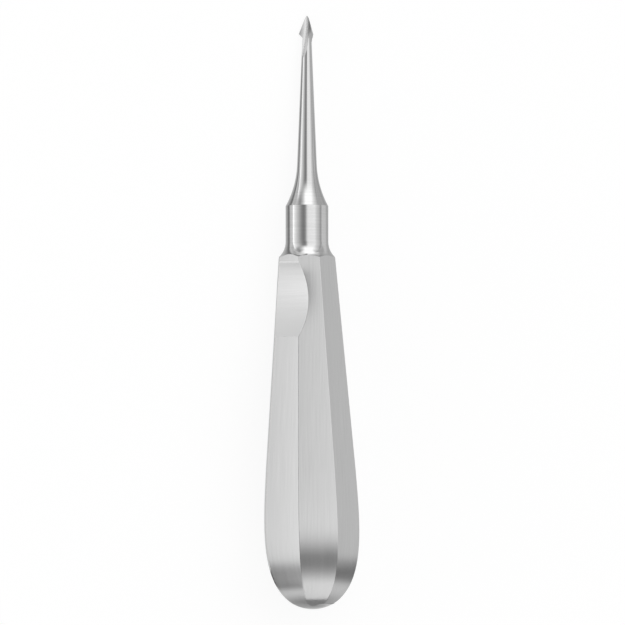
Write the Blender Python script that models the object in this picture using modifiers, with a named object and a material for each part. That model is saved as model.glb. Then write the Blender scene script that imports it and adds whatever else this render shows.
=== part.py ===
"""Dental luxator: a one-piece steel hand instrument with a spear point and an eight-sided handle.

The instrument is worked out along its own axis, as it is made. A bar is turned to a shank, a collar
and a blank for the handle. The spear's blank is set on the thin end. Eight flats are milled along
the handle, its end is domed, a thumb rest is ground across one flat, and a wheel hollows the spear.
It is then laid down on the flat behind its thumb rest, which is how it comes to rest on a table.

On that axis +Z runs from the handle to the point, zero is the shoulder where the handle begins, and
+X is the side of the thumb rest. All sizes are in metres.
"""

from math import acos, asin, atan2, cos, hypot, pi, radians, sin, sqrt, tan

import bmesh
import bpy
from mathutils import Matrix, Vector

# Shank and collar, turned round. Lengths run along the axis from the shoulder.
SHANK_LENGTH = 0.0602
NECK_DIAMETER = 0.0022
FLARE_RADIUS = 0.024
FLARE_ANGLE = radians(28.5)
COLLAR_DIAMETER = 0.0107
COLLAR_LENGTH = 0.0089
COLLAR_FILLET_RADIUS = 0.0053
SHOULDER_DIAMETER = 0.0131

# Spear point. Its cone stands forward of the shank's axis, towards the thumb rest's side. Behind its
# widest place it sinks back into the neck, and its barbs are cut back slanting to a narrow waist.
SPEAR_LENGTH = 0.0045
SPEAR_DIAMETER = 0.0042
SPEAR_OFFSET = 0.00083
SPEAR_SKIRT_LENGTH = 0.0002
SPEAR_BACK_LENGTH = 0.0028
SPEAR_BACK_DIAMETER = 0.00344
SPEAR_WAIST_WIDTH = 0.002
SPEAR_WAIST_TAPER = radians(6)
BARB_ANGLE = radians(45)
BARB_FILLET_RADIUS = 0.0007
HOLLOW_WHEEL_RADIUS = 0.0425
HOLLOW_RIM_RADIUS = 0.005

# Handle. Each flat's distance from the shank's axis, at the shoulder and at the belly's depth below it.
# The flats are plane to a little beyond the belly, so that the handle lies still on any of them.
HANDLE_LENGTH = 0.0885
BELLY_DEPTH = 0.0395
PLANE_LENGTH = 0.054
THUMB_FLAT_AT_SHOULDER = 0.00665
THUMB_FLAT_AT_BELLY = 0.00833
THUMB_SIDE_FLATS_AT_SHOULDER = 0.00695
THUMB_SIDE_FLATS_AT_BELLY = 0.00925
SIDE_FLATS_AT_SHOULDER = 0.0069
SIDE_FLATS_AT_BELLY = 0.01042
BACK_SIDE_FLATS_AT_SHOULDER = 0.00685
BACK_SIDE_FLATS_AT_BELLY = 0.01058
BACK_FLAT_AT_SHOULDER = 0.0069
BACK_FLAT_AT_BELLY = 0.01052

# Butt of the handle: the flats curve in, as a superellipse, to a domed end behind the shank's axis.
# The curve is measured from its own start, within the plane part, and would close just past the end.
BUTT_OFFSET = 0.0021
BUTT_CURVE_START = 0.0395
BUTT_CURVE_OVERRUN = 0.00012
BUTT_CURVE_POWER = 4.8
BUTT_CURVE_LENGTH = HANDLE_LENGTH + BUTT_CURVE_OVERRUN - BUTT_CURVE_START
DOME_RADIUS = 0.0103
DOME_EDGE_RADIUS = 0.00475
DOME_RIM_SLOPE = radians(12)

# Thumb rest, ground across the thumb flat. Its place is measured from the shoulder along that flat.
THUMB_REST_CENTRE = 0.0113
THUMB_REST_LENGTH = 0.0188
THUMB_REST_DEPTH = 0.00178
THUMB_REST_SKEW = radians(2.4)

# How finely round forms are divided, and how far a cutter reaches past what it cuts.
TURNED_STEPS = 96
FLARE_STEPS = 12
FILLET_STEPS = 10
BARB_STEPS = 6
DOME_STEPS = 8
BUTT_STEPS = 26
WHEEL_STEPS = 240
RIM_STEPS = 72
THUMB_WHEEL_STEPS = 160
OVERLAP = 0.001
FILLET_OVERLAP = 0.00025
BAR_MARGIN = 1.2
PLATE_MARGIN = 1.5
MERGE_DISTANCE = 1e-7
SHARP_ANGLE = radians(12)

FLAT_COUNT = 8
FLAT_TURN = 2 * pi / FLAT_COUNT
REST_FLAT = 5

# Every flat in turn round the axis, from the thumb flat towards +Y: its distances at shoulder and belly.
FLATS = (
    (THUMB_FLAT_AT_SHOULDER, THUMB_FLAT_AT_BELLY),
    (THUMB_SIDE_FLATS_AT_SHOULDER, THUMB_SIDE_FLATS_AT_BELLY),
    (SIDE_FLATS_AT_SHOULDER, SIDE_FLATS_AT_BELLY),
    (BACK_SIDE_FLATS_AT_SHOULDER, BACK_SIDE_FLATS_AT_BELLY),
    (BACK_FLAT_AT_SHOULDER, BACK_FLAT_AT_BELLY),
    (BACK_SIDE_FLATS_AT_SHOULDER, BACK_SIDE_FLATS_AT_BELLY),
    (SIDE_FLATS_AT_SHOULDER, SIDE_FLATS_AT_BELLY),
    (THUMB_SIDE_FLATS_AT_SHOULDER, THUMB_SIDE_FLATS_AT_BELLY),
)


def flat_slope(flat):
    """How much further from the axis a flat lies for each metre down the handle."""
    at_shoulder, at_belly = FLATS[flat]
    return (at_belly - at_shoulder) / BELLY_DEPTH


def flat_distance(flat, depth):
    """Distance of a flat from the shank's axis, at a depth below the shoulder."""
    line = FLATS[flat][0] + flat_slope(flat) * depth
    if depth <= PLANE_LENGTH:
        return line
    butt_centre = -BUTT_OFFSET * cos(flat * FLAT_TURN)
    along = (depth - BUTT_CURVE_START) / BUTT_CURVE_LENGTH
    shrink = sqrt(max(0.0, 1 - along ** BUTT_CURVE_POWER))
    return butt_centre + (line - butt_centre) * shrink


def corner_radius(flat, depth):
    """Distance from the axis to the corner between a flat and the next one round."""
    here = flat_distance(flat, depth)
    beyond = flat_distance((flat + 1) % FLAT_COUNT, depth)
    along_flat = (beyond - here * cos(FLAT_TURN)) / sin(FLAT_TURN)
    return hypot(here, along_flat)


def widest_corner(depth):
    return max(corner_radius(flat, depth) for flat in range(FLAT_COUNT))


def butt_depths():
    """Depths below the shoulder at which the curved part of the flats is drawn, closer towards the end."""
    start = asin((PLANE_LENGTH - BUTT_CURVE_START) / BUTT_CURVE_LENGTH)
    angles = [start + (pi / 2 - start) * step / BUTT_STEPS for step in range(1, BUTT_STEPS + 1)]
    return [PLANE_LENGTH] + [BUTT_CURVE_START + BUTT_CURVE_LENGTH * sin(angle) for angle in angles]


def belly_radius():
    """The widest that the corners of the handle stand from the axis."""
    return max(widest_corner(depth) for depth in butt_depths())


def arc(centre, radius, start, end, steps):
    """Points along an arc in the plane of radius and height, from one angle to another."""
    points = []
    for step in range(steps + 1):
        angle = start + (end - start) * step / steps
        points.append((centre[0] + radius * cos(angle), centre[1] + radius * sin(angle)))
    return points


def clear_scene():
    for obj in list(bpy.data.objects):
        bpy.data.objects.remove(obj, do_unlink=True)


def new_collection(name):
    collection = bpy.data.collections.new(name)
    bpy.context.scene.collection.children.link(collection)
    return collection


def new_object(name, mesh, collection, parent):
    obj = bpy.data.objects.new(name, mesh)
    collection.objects.link(obj)
    obj.parent = parent
    return obj


def make_cutter(obj):
    obj.hide_render = True
    obj.display_type = 'WIRE'


def turned(name, profile, collection, parent):
    """A solid turned about its own Z axis from a profile of (radius, height), listed from the top down."""
    mesh = bpy.data.meshes.new(name)
    shape = bmesh.new()
    corners = [shape.verts.new((radius, 0, height)) for radius, height in profile]
    for upper, lower in zip(corners, corners[1:]):
        shape.edges.new((upper, lower))
    shape.to_mesh(mesh)
    shape.free()
    obj = new_object(name, mesh, collection, parent)
    screw = obj.modifiers.new("Turn", 'SCREW')
    screw.axis = 'Z'
    screw.angle = 2 * pi
    screw.steps = TURNED_STEPS
    screw.render_steps = TURNED_STEPS
    screw.use_merge_vertices = True
    screw.merge_threshold = MERGE_DISTANCE
    screw.use_smooth_shade = True
    return obj


def combine(obj, tool, operation, solver='EXACT'):
    boolean = obj.modifiers.new(tool.name, 'BOOLEAN')
    boolean.operation = operation
    boolean.object = tool
    boolean.solver = solver


def tangent_angle(point, centre, radius):
    """Angle from the axis of the line through a point that just touches a circle outside it."""
    to_centre = atan2(centre[0] - point[0], point[1] - centre[1])
    reach = hypot(centre[0] - point[0], point[1] - centre[1])
    return to_centre - asin(radius / reach)


def turn_bar(collection, parent):
    """The bar turned to shank, collar and shoulder, with its full thickness left for the handle."""
    neck = (NECK_DIAMETER / 2, SHANK_LENGTH - SPEAR_LENGTH)
    collar = COLLAR_DIAMETER / 2
    shoulder = SHOULDER_DIAMETER / 2
    fillet_rise = COLLAR_FILLET_RADIUS - (shoulder - collar)
    fillet_length = sqrt(COLLAR_FILLET_RADIUS ** 2 - fillet_rise ** 2)
    collar_top = fillet_length + COLLAR_LENGTH

    flare_centre = (collar + FLARE_RADIUS * cos(FLARE_ANGLE), collar_top + FLARE_RADIUS * sin(FLARE_ANGLE))
    taper = tangent_angle(neck, flare_centre, FLARE_RADIUS)
    flare = arc(flare_centre, FLARE_RADIUS, pi + taper, pi + FLARE_ANGLE, FLARE_STEPS)

    past_corners = widest_corner(COLLAR_FILLET_RADIUS) + FILLET_OVERLAP
    fillet_centre = (collar + COLLAR_FILLET_RADIUS, fillet_length)
    fillet_end = acos((fillet_centre[0] - past_corners) / COLLAR_FILLET_RADIUS)
    fillet = arc(fillet_centre, COLLAR_FILLET_RADIUS, pi, pi + fillet_end, FILLET_STEPS)

    bar = belly_radius() * BAR_MARGIN
    profile = [(0, neck[1]), neck] + flare + fillet
    profile += [(bar, fillet[-1][1]), (bar, -HANDLE_LENGTH - OVERLAP), (0, -HANDLE_LENGTH - OVERLAP)]
    return turned("luxator", profile, collection, parent)


def spear_blank(collection, parent):
    """Blank of the spear: a cone that runs on past the point, and whose back sinks into the neck."""
    point = SHANK_LENGTH
    barb = SPEAR_DIAMETER / 2
    slope = (barb - SPEAR_OFFSET) / SPEAR_LENGTH
    tip_radius = SPEAR_OFFSET / 2
    tip = (tip_radius, point + (SPEAR_OFFSET - tip_radius) / slope)
    skirt = (barb + slope * SPEAR_SKIRT_LENGTH, point - SPEAR_LENGTH - SPEAR_SKIRT_LENGTH)
    back = (SPEAR_BACK_DIAMETER / 2, skirt[1] - SPEAR_BACK_LENGTH)
    blank = turned("spear_blank", [(0, tip[1]), tip, skirt, back, (0, back[1])], collection, parent)
    blank.location.x = SPEAR_OFFSET
    combine(blank, spear_outline(collection, parent), 'INTERSECT', 'MANIFOLD')
    make_cutter(blank)
    return blank


def spear_outline(collection, parent):
    """Plate that leaves the spear's cone whole and cuts its barbs, slanting in to a narrow waist."""
    barb = (SPEAR_DIAMETER / 2, SHANK_LENGTH - SPEAR_LENGTH)
    above = SHANK_LENGTH + SPEAR_LENGTH
    slant_top = (barb[0] + (above - barb[1]) / tan(BARB_ANGLE), above)
    waist = SPEAR_WAIST_WIDTH / 2
    across = waist + BARB_FILLET_RADIUS
    slant_below_barb = (barb[0] - across) * tan(BARB_ANGLE)
    fillet_centre = (across, barb[1] - slant_below_barb - BARB_FILLET_RADIUS / cos(BARB_ANGLE))
    fillet = arc(fillet_centre, BARB_FILLET_RADIUS, pi / 2 + BARB_ANGLE, pi - SPEAR_WAIST_TAPER, BARB_STEPS)
    below = barb[1] - SPEAR_SKIRT_LENGTH - SPEAR_BACK_LENGTH - OVERLAP
    waist_below = fillet[-1][0] - (fillet[-1][1] - below) * tan(SPEAR_WAIST_TAPER)
    side = [slant_top] + fillet + [(waist_below, below)]
    outline = side + [(-half_width, height) for half_width, height in reversed(side)]
    return flat_plate("spear_outline", outline, 2 * SPEAR_DIAMETER, pi / 2, collection, parent)


def flat_plate(name, outline, half_width, turn, collection, parent):
    """Plate with an outline of (across, along) in a plane through the axis, turned round it by an angle."""
    curve = bpy.data.curves.new(name, 'CURVE')
    curve.dimensions = '2D'
    curve.fill_mode = 'BOTH'
    curve.extrude = half_width
    spline = curve.splines.new('POLY')
    spline.points.add(len(outline) - 1)
    for point, (across, along) in zip(spline.points, outline):
        point.co = (across, along, 0, 1)
    spline.use_cyclic_u = True
    drawn = new_object(name + "_drawn", curve, collection, parent)
    drawn.rotation_euler = (pi / 2, 0, turn)
    return curve_to_mesh(drawn, name, collection, parent)


def milled_pair(flat, half_width, collection, parent):
    """Block between two opposite flats: their outline in a plane through the axis, as wide as the bar."""
    opposite = flat + FLAT_COUNT // 2
    top = SHANK_LENGTH + SPEAR_LENGTH
    depths = butt_depths()
    outline = [(flat_distance(flat, 0), top), (flat_distance(flat, 0), 0)]
    outline += [(flat_distance(flat, depth), -depth) for depth in depths]
    outline += [(-flat_distance(opposite, depth), -depth) for depth in reversed(depths[:-1])]
    outline += [(-flat_distance(opposite, 0), 0), (-flat_distance(opposite, 0), top)]
    name = "milled_flats_%d_%d" % (flat, opposite)
    return flat_plate(name, outline, half_width, flat * FLAT_TURN, collection, parent)


def curve_to_mesh(drawn, name, collection, parent):
    """A mesh object in a curve's place, with its caps joined to its sides."""
    bpy.context.view_layer.update()
    evaluated = drawn.evaluated_get(bpy.context.evaluated_depsgraph_get())
    mesh = bpy.data.meshes.new_from_object(evaluated)
    mesh.name = name
    shape = bmesh.new()
    shape.from_mesh(mesh)
    bmesh.ops.remove_doubles(shape, verts=shape.verts, dist=MERGE_DISTANCE)
    bmesh.ops.recalc_face_normals(shape, faces=shape.faces)
    shape.to_mesh(mesh)
    shape.free()
    obj = new_object(name, mesh, collection, parent)
    obj.matrix_world = drawn.matrix_world
    bpy.data.objects.remove(drawn, do_unlink=True)
    make_cutter(obj)
    return obj


def butt_dome(collection, parent):
    """Domed end. Beyond its edge a low rim opens wider than the handle, so it trims the end alone."""
    dome_centre = (0, DOME_RADIUS - HANDLE_LENGTH)
    edge_angle = asin(DOME_EDGE_RADIUS / DOME_RADIUS)
    dome = arc(dome_centre, DOME_RADIUS, edge_angle - pi / 2, -pi / 2, DOME_STEPS)
    wide = 2 * belly_radius()
    rim_top = dome[0][1] + (wide - DOME_EDGE_RADIUS) * tan(DOME_RIM_SLOPE)
    top = SHANK_LENGTH + SPEAR_LENGTH
    profile = [(0, top), (wide, top), (wide, rim_top)] + dome
    profile[-1] = (0, -HANDLE_LENGTH)
    dome_blank = turned("butt_dome", profile, collection, parent)
    dome_blank.location.x = -BUTT_OFFSET
    make_cutter(dome_blank)
    return dome_blank


def thumb_wheel(half_width, collection, parent):
    """Grinding wheel that sinks the thumb rest, square to its flat's slope and a little skew across it."""
    radius = (THUMB_REST_LENGTH ** 2 / 4 + THUMB_REST_DEPTH ** 2) / (2 * THUMB_REST_DEPTH)
    slope = atan2(flat_slope(0), 1)
    mesh = bpy.data.meshes.new("thumb_wheel")
    shape = bmesh.new()
    bmesh.ops.create_cone(
        shape, cap_ends=True, segments=THUMB_WHEEL_STEPS,
        radius1=radius, radius2=radius, depth=2 * half_width)
    shape.to_mesh(mesh)
    shape.free()
    wheel = new_object("thumb_wheel", mesh, collection, parent)
    away = radius - THUMB_REST_DEPTH
    wheel.location = (
        flat_distance(0, THUMB_REST_CENTRE) + away * cos(slope), 0, -THUMB_REST_CENTRE + away * sin(slope))
    wheel.rotation_euler = (pi / 2 - THUMB_REST_SKEW, 0, 0)
    make_cutter(wheel)
    return wheel


def hollow_wheel(collection, parent):
    """Round-rimmed wheel that hollows the spear's face: it touches the axis at the point."""
    bpy.ops.mesh.primitive_torus_add(
        major_radius=HOLLOW_WHEEL_RADIUS - HOLLOW_RIM_RADIUS, minor_radius=HOLLOW_RIM_RADIUS,
        major_segments=WHEEL_STEPS, minor_segments=RIM_STEPS)
    wheel = bpy.context.object
    wheel.name = "hollow_wheel"
    for linked in list(wheel.users_collection):
        linked.objects.unlink(wheel)
    collection.objects.link(wheel)
    wheel.parent = parent
    wheel.location = (HOLLOW_WHEEL_RADIUS, 0, SHANK_LENGTH)
    wheel.rotation_euler = (pi / 2, 0, 0)
    make_cutter(wheel)
    return wheel


def laid_down():
    """Empty that carries the instrument: the flat it lies on is the plane z = 0, the point towards +Y."""
    rest_slope = atan2(flat_slope(REST_FLAT), 1)
    facing = REST_FLAT * FLAT_TURN
    middle = PLANE_LENGTH / 2
    out = flat_distance(REST_FLAT, middle)
    on_flat = Vector((out * cos(facing), out * sin(facing), -middle))
    spin = Matrix.Rotation(pi / 2 - facing, 3, 'Z')
    tip_over = Matrix.Rotation(-pi / 2 - rest_slope, 3, 'X')
    pose = bpy.data.objects.new("rest_pose", None)
    bpy.context.scene.collection.objects.link(pose)
    pose.rotation_mode = 'ZYX'
    pose.rotation_euler = (-pi / 2 - rest_slope, 0, pi / 2 - facing)
    pose.location = -(tip_over @ spin @ on_flat)
    return pose


def stainless_steel():
    material = bpy.data.materials.new("stainless_steel")
    material.use_nodes = True
    shader = material.node_tree.nodes["Principled BSDF"]
    shader.inputs["Base Color"].default_value = (0.62, 0.62, 0.62, 1)
    shader.inputs["Metallic"].default_value = 1.0
    shader.inputs["Roughness"].default_value = 0.3
    return material


def finish(obj, material):
    """Keep the worked shape as the object's own mesh, smooth on its round parts and crisp at its edges."""
    bpy.context.view_layer.update()
    evaluated = obj.evaluated_get(bpy.context.evaluated_depsgraph_get())
    mesh = bpy.data.meshes.new_from_object(evaluated)
    obj.modifiers.clear()
    obj.data = mesh
    mesh.name = obj.name
    mesh.materials.clear()
    mesh.materials.append(material)
    mesh.shade_smooth()
    mesh.set_sharp_from_angle(angle=SHARP_ANGLE)


def main():
    clear_scene()
    parts = new_collection("dental_luxator")
    cutters = new_collection("cutters")
    pose = laid_down()
    half_width = PLATE_MARGIN * belly_radius()

    luxator = turn_bar(parts, pose)
    combine(luxator, spear_blank(cutters, pose), 'UNION')
    for flat in range(FLAT_COUNT // 2):
        combine(luxator, milled_pair(flat, half_width, cutters, pose), 'INTERSECT')
    combine(luxator, butt_dome(cutters, pose), 'INTERSECT')
    combine(luxator, thumb_wheel(half_width, cutters, pose), 'DIFFERENCE')
    combine(luxator, hollow_wheel(cutters, pose), 'DIFFERENCE')
    finish(luxator, stainless_steel())


main()
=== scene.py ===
"""Looks of the dental luxator: satin and turned stainless steel on a white studio table.

The instrument lies on the table as it comes to rest, its point towards +Y, and the camera looks
down on it, so it stands upright in the picture. All sizes are in metres.
"""

from math import atan, cos, pi, radians, sin, tan

import bpy
from mathutils import Matrix, Vector


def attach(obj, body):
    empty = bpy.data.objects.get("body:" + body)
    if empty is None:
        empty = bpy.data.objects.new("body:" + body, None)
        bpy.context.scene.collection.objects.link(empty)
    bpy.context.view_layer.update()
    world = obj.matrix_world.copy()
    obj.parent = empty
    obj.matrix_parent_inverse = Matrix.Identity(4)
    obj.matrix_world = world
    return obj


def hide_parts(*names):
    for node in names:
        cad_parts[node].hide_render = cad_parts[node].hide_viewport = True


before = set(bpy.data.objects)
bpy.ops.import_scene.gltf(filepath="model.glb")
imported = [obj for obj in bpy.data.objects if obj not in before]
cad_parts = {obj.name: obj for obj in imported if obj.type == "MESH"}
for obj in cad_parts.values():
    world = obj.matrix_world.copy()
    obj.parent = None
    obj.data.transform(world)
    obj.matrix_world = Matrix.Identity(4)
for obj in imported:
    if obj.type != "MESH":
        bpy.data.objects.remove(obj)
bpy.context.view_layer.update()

# The instrument: one piece of stainless steel, turned round along its shank and collar, with eight
# flats ground along its handle, a thumb rest ground across one of them and a hollow-ground point.
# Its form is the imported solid's. Its edges are broken slightly, as a polishing wheel leaves them.
AXIS_SLOPE = atan(0.00373 / 0.0395)
SHOULDER_CENTRE = Vector((0, 0.02776, 0.00682))
TOWARDS_POINT = Vector((0, cos(AXIS_SLOPE), -sin(AXIS_SLOPE)))
UP_FROM_AXIS = Vector((0, sin(AXIS_SLOPE), cos(AXIS_SLOPE)))
COLLAR_EDGE = 0.0135
COLLAR_EDGE_REACH = 0.0005
COLLAR_RADIUS = 0.00545
FILLET_START = -0.005
FILLET_TILT = sin(radians(12))
DOME_START = -0.08
DOME_CENTRE = -0.0782
DOME_RADIUS = 0.0103
DOME_TOLERANCE = 0.00003
BUTT_OFFSET = 0.0021
THUMB_SIDE = Vector((-sin(pi / 4), 0, 0)) + cos(pi / 4) * UP_FROM_AXIS
THUMB_FLAT_SLOPE = atan(0.00168 / 0.0395)
THUMB_FLAT_DISTANCE = 0.00665
THUMB_REST_START, THUMB_REST_END = -0.0215, -0.001
THUMB_REST_SHALLOWEST = 0.00002
THUMB_REST_FACING = 0.9
SPEAR_GRINDING_START = 0.049
SPEAR_GRINDING_SLANT = 0.06
SPEAR_WAIST = 0.0545
EDGE_ROUNDING = 0.0001
EDGE_ANGLE = radians(14)
ROUND_ANGLE = radians(25)
WIDE_FACE_WEIGHT = 90
MERGE = 1e-6
COPLANAR = radians(0.05)
SMALLEST_FACE = 2e-6
HANDLE_FINISH, TURNED_FINISH, THUMB_REST_FINISH_PAINTED_BRIGHT, SPEAR_FINISH = range(4)

bpy.ops.object.select_all(action='DESELECT')
luxator = bpy.data.objects.new("luxator_steel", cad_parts["luxator"].data.copy())
bpy.context.scene.collection.objects.link(luxator)
luxator.select_set(True)
bpy.context.view_layer.objects.active = luxator
luxator.data.materials.clear()
bpy.ops.object.mode_set(mode='EDIT')
bpy.ops.mesh.select_all(action='SELECT')
bpy.ops.mesh.customdata_custom_splitnormals_clear()
bpy.ops.mesh.remove_doubles(threshold=MERGE)
bpy.ops.mesh.dissolve_limited(angle_limit=COPLANAR)
bpy.ops.object.mode_set(mode='OBJECT')

thumb_flat_facing = cos(THUMB_FLAT_SLOPE) * THUMB_SIDE + sin(THUMB_FLAT_SLOPE) * TOWARDS_POINT
dome_centre = SHOULDER_CENTRE + DOME_CENTRE * TOWARDS_POINT - BUTT_OFFSET * THUMB_SIDE
for face in luxator.data.polygons:
    from_shoulder = face.center - SHOULDER_CENTRE
    along = from_shoulder.dot(TOWARDS_POINT)
    outwards = from_shoulder - along * TOWARDS_POINT
    slant = abs(face.normal.dot(TOWARDS_POINT.cross(outwards).normalized()))
    on_grinding = along > SPEAR_GRINDING_START and slant > SPEAR_GRINDING_SLANT
    on_spear = along > SPEAR_WAIST or on_grinding
    on_shank = along > COLLAR_EDGE or (along > 0 and outwards.length < COLLAR_RADIUS)
    on_fillet = along > FILLET_START and face.normal.dot(TOWARDS_POINT) > FILLET_TILT
    off_dome = abs((face.center - dome_centre).length - DOME_RADIUS)
    on_dome = off_dome < DOME_TOLERANCE and along < DOME_START
    below_flat = THUMB_FLAT_DISTANCE * cos(THUMB_FLAT_SLOPE) - from_shoulder.dot(thumb_flat_facing)
    on_thumb_rest = (THUMB_REST_START < along < THUMB_REST_END
                     and below_flat > THUMB_REST_SHALLOWEST
                     and face.normal.dot(thumb_flat_facing) > THUMB_REST_FACING)
    if on_spear:
        face.material_index = SPEAR_FINISH
    elif on_shank or on_fillet or on_dome:
        face.material_index = TURNED_FINISH
    elif on_thumb_rest:
        face.material_index = THUMB_REST_FINISH_PAINTED_BRIGHT
    else:
        face.material_index = HANDLE_FINISH

bpy.ops.object.mode_set(mode='EDIT')
bpy.ops.mesh.select_mode(type='EDGE')
bpy.ops.mesh.select_all(action='DESELECT')
bpy.ops.mesh.edges_select_sharp(sharpness=EDGE_ANGLE)
bpy.ops.object.mode_set(mode='OBJECT')
for edge in luxator.data.edges:
    ends = [luxator.data.vertices[end].co for end in edge.vertices]
    middle = ((ends[0] + ends[1]) / 2 - SHOULDER_CENTRE).dot(TOWARDS_POINT)
    on_handle = middle < FILLET_START
    on_collar_edge = abs(middle - COLLAR_EDGE) < COLLAR_EDGE_REACH
    if not on_handle and not on_collar_edge:
        edge.select = False
bpy.ops.object.mode_set(mode='EDIT')
bpy.ops.mesh.bevel(offset=EDGE_ROUNDING, segments=2, profile=0.5, affect='EDGES',
                   clamp_overlap=False)
bpy.ops.mesh.select_all(action='SELECT')
bpy.ops.mesh.dissolve_degenerate(threshold=SMALLEST_FACE)
bpy.ops.object.mode_set(mode='OBJECT')
bpy.ops.object.shade_smooth_by_angle(angle=ROUND_ANGLE)
weighting = luxator.modifiers.new("even_shading", 'WEIGHTED_NORMAL')
weighting.keep_sharp = True
weighting.weight = WIDE_FACE_WEIGHT
bpy.ops.object.modifier_apply(modifier=weighting.name)


class Wire:
    """An output socket. Arithmetic on it adds Math nodes, and node() adds any other node."""

    def __init__(self, tree, socket):
        self.tree = tree
        self.socket = socket

    def node(self, kind, settings=None, output=0, **inputs):
        """Add a node. An input is given by its name, with _ for a space, or as _ and its number."""
        made = self.tree.nodes.new(kind)
        for name, value in (settings or {}).items():
            if name == 'stops':
                ramp = made.color_ramp
                while len(ramp.elements) < len(value):
                    ramp.elements.new(0.5)
                for element, (position, level) in zip(ramp.elements, value):
                    element.position = position
                    element.color = (level, level, level, 1)
            else:
                setattr(made, name, value)
        for name, value in inputs.items():
            key = int(name[1:]) if name[1:].isdigit() else name.replace("_", " ")
            if isinstance(value, Wire):
                self.tree.links.new(value.socket, made.inputs[key])
            else:
                made.inputs[key].default_value = value
        return Wire(self.tree, made.outputs[output])

    def maths(self, operation, first, second=0.0):
        return self.node('ShaderNodeMath', {'operation': operation}, _0=first, _1=second)

    def __add__(self, other):
        return self.maths('ADD', self, other)

    def __radd__(self, other):
        return self.maths('ADD', other, self)

    def __sub__(self, other):
        return self.maths('SUBTRACT', self, other)

    def __rsub__(self, other):
        return self.maths('SUBTRACT', other, self)

    def __mul__(self, other):
        return self.maths('MULTIPLY', self, other)

    def __rmul__(self, other):
        return self.maths('MULTIPLY', other, self)

    def __truediv__(self, other):
        return self.maths('DIVIDE', self, other)

    def vector(self, operation, other, output=0):
        return self.node('ShaderNodeVectorMath', {'operation': operation}, output,
                         _0=self, _1=other)

    def blend(self, low, high):
        """low where this is 0, and high where it is 1."""
        return self.node('ShaderNodeMix', {'data_type': 'FLOAT'}, 0, _0=self, _2=low, _3=high)

    def noise(self, detail):
        """Unevenness by this place, from about -0.5 to 0.5."""
        return self.node('ShaderNodeTexNoise', None, 0, Vector=self, Scale=1.0, Detail=detail) - 0.5

    def steps(self, low, high):
        """0 below low, 1 above high and smooth between."""
        return self.node('ShaderNodeMapRange', {'interpolation_type': 'SMOOTHSTEP'}, 0,
                         Value=self, From_Min=low, From_Max=high)

    def bell(self, centre, width):
        """1 where this equals centre, fading over width."""
        offset = (self - centre) / width
        return self.maths('EXPONENT', offset * offset * -1.0)


def new_material(name):
    """A material with its node tree emptied but for its output, and a wire to start from."""
    material = bpy.data.materials.new(name)
    material.use_nodes = True
    tree = material.node_tree
    tree.nodes.clear()
    output = tree.nodes.new('ShaderNodeOutputMaterial')
    return material, output, Wire(tree, None)


def steel(output, grey, roughness, height, anisotropy, turn):
    """Make a steel surface. turn is which way the light spreads from its fine grooves."""
    colour = grey.node('ShaderNodeCombineColor', None, 0, Red=grey, Green=grey, Blue=grey)
    relief = grey.node('ShaderNodeBump', None, 0, Strength=1.0, Distance=1.0, Height=height)
    shader = grey.node('ShaderNodeBsdfPrincipled', None, 0, Base_Color=colour, Roughness=roughness,
                       Metallic=1.0, Anisotropic=anisotropy, Anisotropic_Rotation=turn,
                       Normal=relief)
    grey.tree.links.new(shader.socket, output.inputs[0])


# The handle's finish: satin steel, brushed along its length, with hairlines that catch the light
# unevenly. Each flat is ground by hand, so it is slightly crowned, and it dips into the thumb rest.
HAIRLINE_WIDTH = 0.00022
HAIRLINE_LENGTH = 0.012
HAIRLINE_DEPTH = 0.0000012
HAIRLINE_CONTRAST = 0.1
STREAK_WIDTH = 0.0011
STREAK_LENGTH = 0.03
STREAK_CONTRAST = 0.03
STREAK_DULLING = 0.05
EACH_FLAT_DIFFERS = (3.1, 0, 7.3)
CROWN_RADIUS = 0.36
HANDLE_GREY = 0.65
HANDLE_ROUGHNESS = 0.22
HANDLE_GROOVES = 0.7
SPREAD_ACROSS = 0.25
THUMB_WHEEL_RADIUS = 0.02571
THUMB_WHEEL_PLACE = SHOULDER_CENTRE - 0.01029 * TOWARDS_POINT + 0.03104 * THUMB_SIDE
LIP_SLOPE = 0.13
LIP_REACH = 0.0014
LIP_BELOW_WHEEL = 0.0239
LIP_FADE = (0.0, 0.0007)
LIP_START = (-0.01, 0.003)
LIP_END = (0.005, 0.009)

handle_steel, handle_output, wire = new_material("brushed_handle_steel")
place = wire.node('ShaderNodeTexCoord', None, 'Object')
facing = wire.node('ShaderNodeNewGeometry', None, 'True Normal')
across_way = wire.node('ShaderNodeVectorMath', {'operation': 'CROSS_PRODUCT'}, 0,
                       _0=tuple(TOWARDS_POINT), _1=facing)
across_way = wire.node('ShaderNodeVectorMath', {'operation': 'NORMALIZE'}, 0, _0=across_way)
from_shoulder = place.vector('SUBTRACT', tuple(SHOULDER_CENTRE))
across = from_shoulder.vector('DOT_PRODUCT', across_way, 'Value')
along = from_shoulder.vector('DOT_PRODUCT', tuple(TOWARDS_POINT), 'Value')
which_flat = facing.vector('DOT_PRODUCT', EACH_FLAT_DIFFERS, 'Value')
hairlines = wire.node('ShaderNodeCombineXYZ', None, 0, X=across / HAIRLINE_WIDTH,
                      Y=along / HAIRLINE_LENGTH, Z=which_flat).noise(3.0)
streaks = wire.node('ShaderNodeCombineXYZ', None, 0, X=across / STREAK_WIDTH,
                    Y=along / STREAK_LENGTH, Z=which_flat).noise(1.0)
from_wheel = place.vector('SUBTRACT', tuple(THUMB_WHEEL_PLACE))
wheel_along = from_wheel.vector('DOT_PRODUCT', tuple(TOWARDS_POINT), 'Value')
wheel_up = from_wheel.vector('DOT_PRODUCT', tuple(THUMB_SIDE), 'Value')
wheel_away = wire.maths('SQRT', wheel_along * wheel_along + wheel_up * wheel_up)
from_lip = wire.maths('MAXIMUM', wheel_away - THUMB_WHEEL_RADIUS, 0.0)
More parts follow.
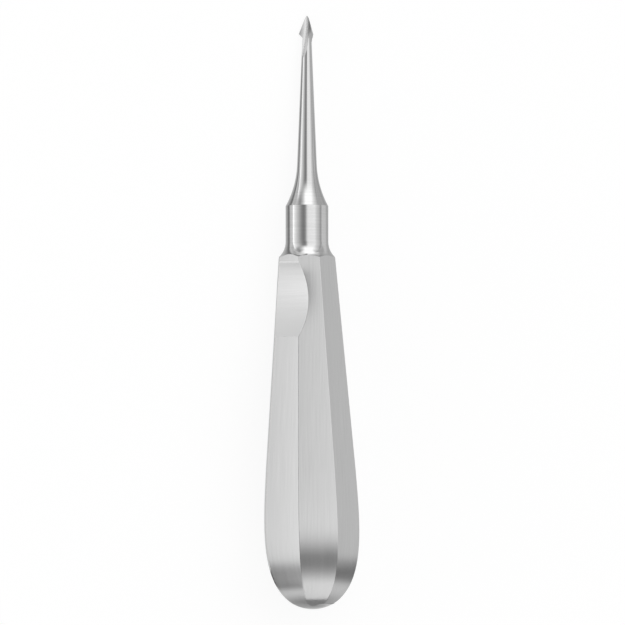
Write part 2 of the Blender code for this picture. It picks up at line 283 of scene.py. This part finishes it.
beside_rest = ((-LIP_BELOW_WHEEL - wheel_up).steps(*LIP_FADE) * wheel_along.steps(*LIP_START)
               * (1 - wheel_along.steps(*LIP_END)))
lip_dip = wire.maths('EXPONENT', from_lip / -LIP_REACH) * beside_rest * (LIP_SLOPE * LIP_REACH)
height = hairlines * HAIRLINE_DEPTH - across * across / (2 * CROWN_RADIUS) - lip_dip
steel(handle_output, HANDLE_GREY + hairlines * HAIRLINE_CONTRAST + streaks * STREAK_CONTRAST,
      HANDLE_ROUGHNESS + streaks * STREAK_DULLING, height, HANDLE_GROOVES, SPREAD_ACROSS)

# The shank, collar and domed end: brighter polished steel, with the fine rings that turning left.
# The rings are plainest on the collar and the dome, and nearly polished away along the shank.
RING_WIDTH = 0.0002
RING_LENGTH = 0.01
RING_DEPTH = 0.000005
RING_CONTRAST = 0.2
RING_DULLING = 0.08
RINGS_FADE = (0.012, 0.022)
RINGS_LOST = 0.75
TURNED_GREY = 0.67
TURNED_ROUGHNESS = 0.1


def place_on_axis(wire):
    """A place on the instrument, from its shoulder, with Y along its axis."""
    place = wire.node('ShaderNodeTexCoord', None, 'Object')
    return wire.node('ShaderNodeMapping', {'vector_type': 'TEXTURE'}, 0, Vector=place,
                     Location=SHOULDER_CENTRE, Rotation=(-AXIS_SLOPE, 0, 0))


turned_steel, turned_output, wire = new_material("turned_bright_steel")
place = place_on_axis(wire)
along = place.vector('DOT_PRODUCT', (0, 1, 0), 'Value')
rings = place.vector('MULTIPLY', (1 / RING_LENGTH, 1 / RING_WIDTH, 1 / RING_LENGTH)).noise(3.0)
rings = rings * (1 - along.steps(*RINGS_FADE) * RINGS_LOST)
steel(turned_output, TURNED_GREY + rings * RING_CONTRAST, TURNED_ROUGHNESS + rings * RING_DULLING,
      rings * RING_DEPTH, 0.0, 0.0)

# The thumb rest: ground out of the handle by a wheel, and left a softer satin with fine
# scratches across it. Its steel is painted paler than the handle's, a painted highlight on the
# hollow.
SCRATCH_WIDTH = 0.00022
SCRATCH_LENGTH = 1 / 60
SCRATCH_DEPTH = 0.000001
SCRATCH_CONTRAST = 0.05
SCRATCH_DULLING = 0.1
# Painted highlight: this grey is set well above the handle's, so that the hollow shows bright as if
# lit.
THUMB_REST_PAINTED_BRIGHT_GREY = 0.81
THUMB_REST_ROUGHNESS = 0.19

rest_steel_painted_bright, rest_output, wire = new_material("ground_thumb_rest_steel_painted_bright")
place = place_on_axis(wire)
scratches = place.vector('MULTIPLY', (1 / SCRATCH_LENGTH, 1 / SCRATCH_WIDTH, 1 / SCRATCH_LENGTH))
scratches = scratches.noise(3.0)
steel(rest_output, THUMB_REST_PAINTED_BRIGHT_GREY + scratches * SCRATCH_CONTRAST,
      THUMB_REST_ROUGHNESS + scratches * SCRATCH_DULLING, scratches * SCRATCH_DEPTH, 0.0, 0.0)

# The spear point: hollow-ground and stoned along its length after turning, to a fine keen satin.
# Its grain is the finest of the four finishes.
GRIND_WIDTH = 0.00008
GRIND_LENGTH = 0.003
GRIND_DEPTH = 0.000001
GRIND_CONTRAST = 0.08
GRIND_DULLING = 0.08
SPEAR_GREY = 0.6
SPEAR_ROUGHNESS = 0.2
SPEAR_GROOVES = 0.4
FAR_OFF_SIDE = (10, 0, 0)

spear_steel, spear_output, wire = new_material("ground_spear_steel")
place = place_on_axis(wire)
grinding = place.vector('MULTIPLY', (1 / GRIND_WIDTH, 1 / GRIND_LENGTH, 1 / GRIND_WIDTH)).noise(2.0)
steel(spear_output, SPEAR_GREY + grinding * GRIND_CONTRAST,
      SPEAR_ROUGHNESS + grinding * GRIND_DULLING, grinding * GRIND_DEPTH,
      SPEAR_GROOVES, SPREAD_ACROSS)

for finish in (handle_steel, turned_steel, rest_steel_painted_bright, spear_steel):
    luxator.data.materials.append(finish)
# Grooves run round the centre of this space. It is far off to the side, so they run lengthwise.
luxator.data.use_auto_texspace = False
luxator.data.texspace_location = FAR_OFF_SIDE
luxator.data.texspace_size = (1, 1, 1)
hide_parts("luxator")
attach(luxator, "root")

# The table: a wide white board. The camera sees it as white, with a faint shadow where the
# instrument lies. The steel mirrors it greyer, with the dark gaps between the studio's screens.
TABLE_WIDTH = 6.0
TABLE_PAINT = (0.9, 0.9, 0.9, 1)
TABLE_GLOW = 1.09
SHADOW_SHARE = 0.2
# The rest is for the steel's reflections only. A pair is where a fade begins and where it is full,
# in metres on the board or in degrees of bearing, or it is the middle and width of a soft patch.
BOARD_LEVEL = 0.84
DIMMER, DIMMER_BY = (-0.12, -0.04), 0.06
RIGHT_SIDE = (-0.03, 0.03)
# Beside the shank. The gap on its left runs slanting, as the shank's edge does.
SHANK_START = (0.01, 0.03)
SHANK_END = (0.076, 0.082)
LEFT_GAP_Y, LEFT_GAP_X, LEFT_GAP_SLOPE = 0.04, -0.0185, 0.29
LEFT_GAP = (1.08, 0.55)
LEFT_GAP_DEPTH = 0.85
RIGHT_GAP = (0.012, 0.007)
RIGHT_GAP_DEPTH = 0.38
# Beside the point.
POINT_GAP_START = (0.0832, 0.0856)
POINT_GAP_LEFT, POINT_GAP_RIGHT = (-0.0135, -0.008), (0.0, 0.004)
POINT_LIGHT = 0.42
POINT_LIGHT_START, POINT_LIGHT_END = (0.076, 0.085), (0.091, 0.1)
POINT_LIGHT_LEFT, POINT_LIGHT_RIGHT = (-0.045, -0.026), (-0.012, -0.002)
# In front, by bearing from the collar.
COLLAR_Y = 0.033
FRONT_LIGHT = 0.8
FRONT_LIGHT_WAY, FRONT_LIGHT_START = (6, 17), (0.09, 0.14)
FRONT_LEFT_DEPTH = 0.3
FRONT_LEFT_WAY = (-33, 13)
FRONT_LEFT_START, FRONT_LEFT_END = (0.05, 0.075), (0.16, 0.24)
FRONT_RIGHT_WAY, FRONT_RIGHT_WAY_END = (28, 36), (58, 76)
FRONT_RIGHT_START = (0.04, 0.06)
FAR_LEFT_DEPTH = 0.2
FAR_LEFT_WAY, FAR_LEFT_END = (-58, 9), (-0.08, -0.03)
# Behind, by bearing from the butt. On the right the gaps begin sooner, and the low one ends sooner.
BUTT_Y = -0.05
SOONER_RIGHT = 4
LOW_GAP_START, LOW_GAP_END = (12, 19), (37, 47)
LOW_GAP_SHORTER_RIGHT = 6
LOW_GAP_DEPTH = 0.92
LOW_GAP_PALER_RIGHT = 0.14
END_GAP_WAY = (48, 70)
END_GAP_START, END_GAP_DEEPENING = (0.062, 0.074), (0.068, 0.095)
END_GAP_DEPTH, END_GAP_DEEPENS = 0.35, 0.4

bpy.ops.object.select_all(action='DESELECT')
bpy.ops.mesh.primitive_plane_add(size=TABLE_WIDTH, location=(0, 0, 0))
table = bpy.context.object
table.name = "table"
table_white, table_output, wire = new_material("white_board")
place = wire.node('ShaderNodeTexCoord', None, 'Object')
table_x = wire.node('ShaderNodeSeparateXYZ', None, 'X', _0=place)
table_y = wire.node('ShaderNodeSeparateXYZ', None, 'Y', _0=place)
right_side = table_x.steps(*RIGHT_SIDE)

beside_shank = table_y.steps(*SHANK_START)
beside = table_x / ((table_y - LEFT_GAP_Y) * LEFT_GAP_SLOPE + LEFT_GAP_X)
left_gap = beside.bell(*LEFT_GAP) * beside_shank * (1 - table_y.steps(*SHANK_END))
right_gap = table_x.bell(*RIGHT_GAP) * beside_shank
point_gap = (table_y.steps(*POINT_GAP_START) * table_x.steps(*POINT_GAP_LEFT)
             * (1 - table_x.steps(*POINT_GAP_RIGHT)))
point_light = (table_y.steps(*POINT_LIGHT_START) * (1 - table_y.steps(*POINT_LIGHT_END))
               * table_x.steps(*POINT_LIGHT_LEFT) * (1 - table_x.steps(*POINT_LIGHT_RIGHT)))

front_way = wire.maths('ARCTAN2', table_x, table_y - COLLAR_Y) * (180 / pi)
front_light = front_way.bell(*FRONT_LIGHT_WAY) * table_y.steps(*FRONT_LIGHT_START)
front_left_gap = (front_way.bell(*FRONT_LEFT_WAY) * table_y.steps(*FRONT_LEFT_START)
                  * (1 - table_y.steps(*FRONT_LEFT_END)))
front_right_gap = (front_way.steps(*FRONT_RIGHT_WAY) * (1 - front_way.steps(*FRONT_RIGHT_WAY_END))
                   * table_y.steps(*FRONT_RIGHT_START))
far_left_gap = front_way.bell(*FAR_LEFT_WAY) * (1 - table_x.steps(*FAR_LEFT_END))

behind = 0 - table_y
butt_way = wire.maths('ARCTAN2', BUTT_Y - table_y, wire.maths('ABSOLUTE', table_x)) * (180 / pi)
butt_way = butt_way + right_side * SOONER_RIGHT
low_gap = (butt_way.steps(*LOW_GAP_START)
           * (1 - (butt_way + right_side * LOW_GAP_SHORTER_RIGHT).steps(*LOW_GAP_END)))
low_gap_depth = LOW_GAP_DEPTH - right_side * LOW_GAP_PALER_RIGHT
end_gap = (butt_way.steps(*END_GAP_WAY) * behind.steps(*END_GAP_START)
           * (END_GAP_DEPTH + END_GAP_DEEPENS * behind.steps(*END_GAP_DEEPENING)))

board_level = (BOARD_LEVEL - table_x.steps(*DIMMER) * DIMMER_BY - far_left_gap * FAR_LEFT_DEPTH
               - front_left_gap * FRONT_LEFT_DEPTH + front_light * FRONT_LIGHT
               + point_light * POINT_LIGHT)
mirrored = (board_level * (1 - (left_gap + point_gap) * LEFT_GAP_DEPTH)
            * (1 - (right_gap + front_right_gap) * RIGHT_GAP_DEPTH)
            * (1 - low_gap * low_gap_depth) * (1 - end_gap))
lit = wire.node('ShaderNodeBsdfDiffuse', None, 0, Color=TABLE_PAINT)
camera_ray = wire.node('ShaderNodeLightPath', None, 'Is Camera Ray')
glossy_ray = wire.node('ShaderNodeLightPath', None, 'Is Glossy Ray')
glow = wire.node('ShaderNodeEmission', None, 0, Color=(1, 1, 1, 1),
                 Strength=glossy_ray.blend(TABLE_GLOW, mirrored))
seen = wire.maths('MAXIMUM', camera_ray, glossy_ray) * (1 - SHADOW_SHARE)
shown = wire.node('ShaderNodeMixShader', None, 0, _0=seen, _1=lit, _2=glow)
table_white.node_tree.links.new(shown.socket, table_output.inputs[0])
table.data.materials.append(table_white)

# The studio round it: white beyond the table for the camera, and for the steel a pale tent of
# soft screens, with a bright strip low on its left and a dark gap where the camera looks in.
# A screen is given by its turn across the instrument, in degrees from straight up, and its level.
LOW_SCREENS = ((-100, 0.6), (-90, 0.55), (-88, 0.65), (-86, 1.1), (-84, 1.6), (-79, 1.5),
               (-72, 1.1), (-60, 0.86), (-50, 0.66), (-41, 0.48), (-32, 0.32), (-24, 0.26),
               (-17, 0.3), (-10, 0.5), (-4, 0.95), (4, 1.12), (38, 1.15), (45, 0.98), (52, 0.82),
               (66, 0.66), (74, 0.46), (80, 0.44), (86, 0.74), (92, 0.85), (100, 0.85))
HIGH_SCREENS = ((-100, 0.8), (-88, 0.65), (-78, 0.55), (-70, 0.42), (-62, 0.38), (-52, 0.55),
                (-42, 0.72), (-32, 1.0), (-16, 1.5), (36, 1.5), (49, 1.25), (59, 1.0), (76, 0.72),
                (85, 0.52), (96, 0.44))
HIGHEST_LEVEL = 2
LOW_TO_HIGH = (0.55, 0.82)
# Towards the point the low screens shift to the right, all but the far left ones, and the high
# ones spread out.
SHIFT, SHIFT_START, SHIFT_LEFT_END = 5, (0.05, 0.3), (-60, -20)
SPREAD, SPREAD_START = 0.58, (0.88, 0.98)
# The dark gap is a bowed belt, a little towards the butt. Its place, its softness and its depth
# change with the turn squared, and most of it is lost on the far left.
BELT_RISE, BELT_RISE_BEND = 13.5, 0.00135
BELT_SOFTNESS, BELT_SOFTNESS_BEND = 18, 0.0015
BELT_TOP, BELT_BOTTOM = (0, 1), (-2, -0.2)
BELT_DEPTH, BELT_DEPTH_BEND = 0.7, 0.000012
BELT_LOST_LEFT, BELT_LEFT_END = 0.75, (-88, -73)
SIDE_GAP_TURN, SIDE_GAP_PLACE = (-92, 16), (0.5, 0.12)
SIDE_GAP_DEPTH = 0.22

world = bpy.data.worlds.new("studio_tent")
world.use_nodes = True
bpy.context.scene.world = world
tree = world.node_tree
tree.nodes.clear()
world_output = tree.nodes.new('ShaderNodeOutputWorld')
wire = Wire(tree, None)


def level_of(screens, turn):
    """The level of a row of screens at this turn, as a share of the highest one allowed."""
    stops = [((angle + 180) / 360, level / HIGHEST_LEVEL) for angle, level in screens]
    return turn.node('ShaderNodeValToRGB', {'stops': stops}, 0, _0=turn / 360 + 0.5)


direction = wire.node('ShaderNodeTexCoord', None, 'Generated')
sideways = wire.node('ShaderNodeSeparateXYZ', None, 'X', _0=direction)
lengthwise = wire.node('ShaderNodeSeparateXYZ', None, 'Y', _0=direction)
upwards = wire.node('ShaderNodeSeparateXYZ', None, 'Z', _0=direction)
turn = wire.maths('ARCTAN2', sideways, upwards) * (180 / pi)
turn_squared = turn * turn
rise = wire.maths('ARCSINE', lengthwise) * (180 / pi)
low_turn = turn - lengthwise.steps(*SHIFT_START) * turn.steps(*SHIFT_LEFT_END) * SHIFT
high_turn = turn * (1 - lengthwise.steps(*SPREAD_START) * SPREAD)
screens = lengthwise.steps(*LOW_TO_HIGH).blend(level_of(LOW_SCREENS, low_turn),
                                               level_of(HIGH_SCREENS, high_turn))
above_belt = ((rise + BELT_RISE + turn_squared * BELT_RISE_BEND)
              / (BELT_SOFTNESS - turn_squared * BELT_SOFTNESS_BEND))
belt = (1 - above_belt.steps(*BELT_TOP)) * above_belt.steps(*BELT_BOTTOM)
belt = belt * (BELT_DEPTH + turn_squared * BELT_DEPTH_BEND)
belt = belt * (1 - (1 - turn.steps(*BELT_LEFT_END)) * BELT_LOST_LEFT)
side_gap = turn.bell(*SIDE_GAP_TURN) * lengthwise.bell(*SIDE_GAP_PLACE) * SIDE_GAP_DEPTH
mirrored = screens * HIGHEST_LEVEL * (1 - belt) * (1 - side_gap)
level = wire.node('ShaderNodeLightPath', None, 'Is Camera Ray').blend(mirrored, 1.0)
sky = wire.node('ShaderNodeBackground', None, 0, Color=(1, 1, 1, 1), Strength=level)
tree.links.new(sky.socket, world_output.inputs[0])

# The camera: above the table, looking down with a long lens, and leaning a little as the
# photographer's did.
CAMERA_DISTANCE = 1.25
AIM = Vector((0.0013878, 0.0134286, 0.008))
LEAN_ACROSS = radians(-2.3)
LEAN_ALONG = radians(2.0)
ROLL = radians(0.2)
LENS = 287.8
FARTHEST = 20

back = Vector((tan(LEAN_ACROSS), tan(LEAN_ALONG), 1)).normalized()
right = Vector((0, 1, 0)).cross(back).normalized()
upright = back.cross(right)
picture_right = cos(ROLL) * right + sin(ROLL) * upright
picture_up = cos(ROLL) * upright - sin(ROLL) * right
camera_data = bpy.data.cameras.new("camera")
camera_data.lens = LENS
camera_data.clip_end = FARTHEST
camera = bpy.data.objects.new("camera", camera_data)
bpy.context.scene.collection.objects.link(camera)
camera.matrix_world = Matrix.Translation(AIM + CAMERA_DISTANCE * back) @ Matrix((
    (picture_right.x, picture_up.x, back.x, 0),
    (picture_right.y, picture_up.y, back.y, 0),
    (picture_right.z, picture_up.z, back.z, 0),
    (0, 0, 0, 1)))
bpy.context.scene.camera = camera
bpy.context.scene.view_settings.view_transform = 'Standard'
